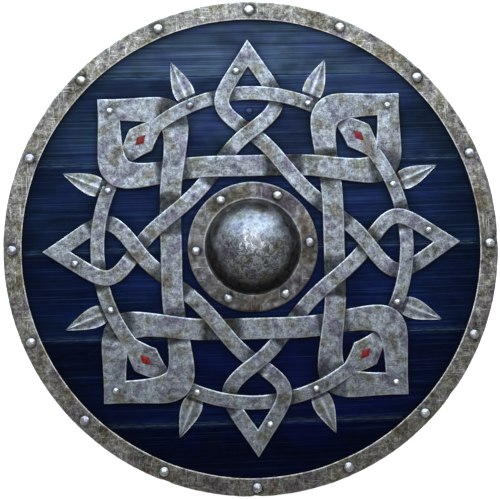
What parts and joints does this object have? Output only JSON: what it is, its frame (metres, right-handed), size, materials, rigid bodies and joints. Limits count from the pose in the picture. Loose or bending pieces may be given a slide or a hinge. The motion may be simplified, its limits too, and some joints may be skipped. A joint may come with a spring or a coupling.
{
  "type": "round shield",
  "caption": "Round wooden shield with a steel rim, a domed boss over a hand grip, painted planks and a riveted interlace plate.",
  "frame": {"origin": "on the ground under the shield's centre, with the shield lying face up on its back battens", "axes": "+Z out of the face, +X along the planks, +Y along the battens and the hand grip"},
  "size_m": [0.61, 0.61, 0.08],
  "materials": {
    "painted_planks": "dark blue paint, worn, with the grain showing",
    "bare_wood": "oiled ash, used",
    "rim_steel": "aged and mottled, bright on the edges",
    "boss_steel": "hammered and aged",
    "knot_steel": "chased and aged, bright on the high parts",
    "rivet_steel": "worn bright",
    "red_enamel": "glossy red enamel"
  },
  "bodies": {
    "root": {"plank_1": "painted_planks", "plank_2": "painted_planks", "plank_3": "painted_planks", "plank_4": "painted_planks", "plank_5": "painted_planks", "plank_6": "painted_planks", "rim": "rim_steel", "boss": "boss_steel", "knot": "knot_steel", "grip_batten": "bare_wood", "side_batten_left": "bare_wood", "side_batten_right": "bare_wood", "enamel_1": "red_enamel", "enamel_2": "red_enamel", "enamel_3": "red_enamel", "enamel_4": "red_enamel", "rim_rivet_1": "rivet_steel", "rim_rivet_2": "rivet_steel", "rim_rivet_3": "rivet_steel", "rim_rivet_4": "rivet_steel", "rim_rivet_5": "rivet_steel", "rim_rivet_6": "rivet_steel", "rim_rivet_7": "rivet_steel", "rim_rivet_8": "rivet_steel", "rim_rivet_9": "rivet_steel", "rim_rivet_10": "rivet_steel", "rim_rivet_11": "rivet_steel", "rim_rivet_12": "rivet_steel", "rim_rivet_13": "rivet_steel", "rim_rivet_14": "rivet_steel", "rim_rivet_15": "rivet_steel", "rim_rivet_16": "rivet_steel", "boss_rivet_1": "rivet_steel", "boss_rivet_2": "rivet_steel", "boss_rivet_3": "rivet_steel", "boss_rivet_4": "rivet_steel", "boss_rivet_5": "rivet_steel", "boss_rivet_6": "rivet_steel", "knot_nail_1": "rivet_steel", "knot_nail_2": "rivet_steel", "knot_nail_3": "rivet_steel", "knot_nail_4": "rivet_steel", "knot_nail_5": "rivet_steel", "knot_nail_6": "rivet_steel", "knot_nail_7": "rivet_steel", "knot_nail_8": "rivet_steel", "knot_nail_9": "rivet_steel", "knot_nail_10": "rivet_steel", "knot_nail_11": "rivet_steel", "knot_nail_12": "rivet_steel", "knot_nail_13": "rivet_steel", "knot_nail_14": "rivet_steel", "knot_nail_15": "rivet_steel", "knot_nail_16": "rivet_steel", "plank_nail": "painted_planks"}
  },
  "joints": []
}
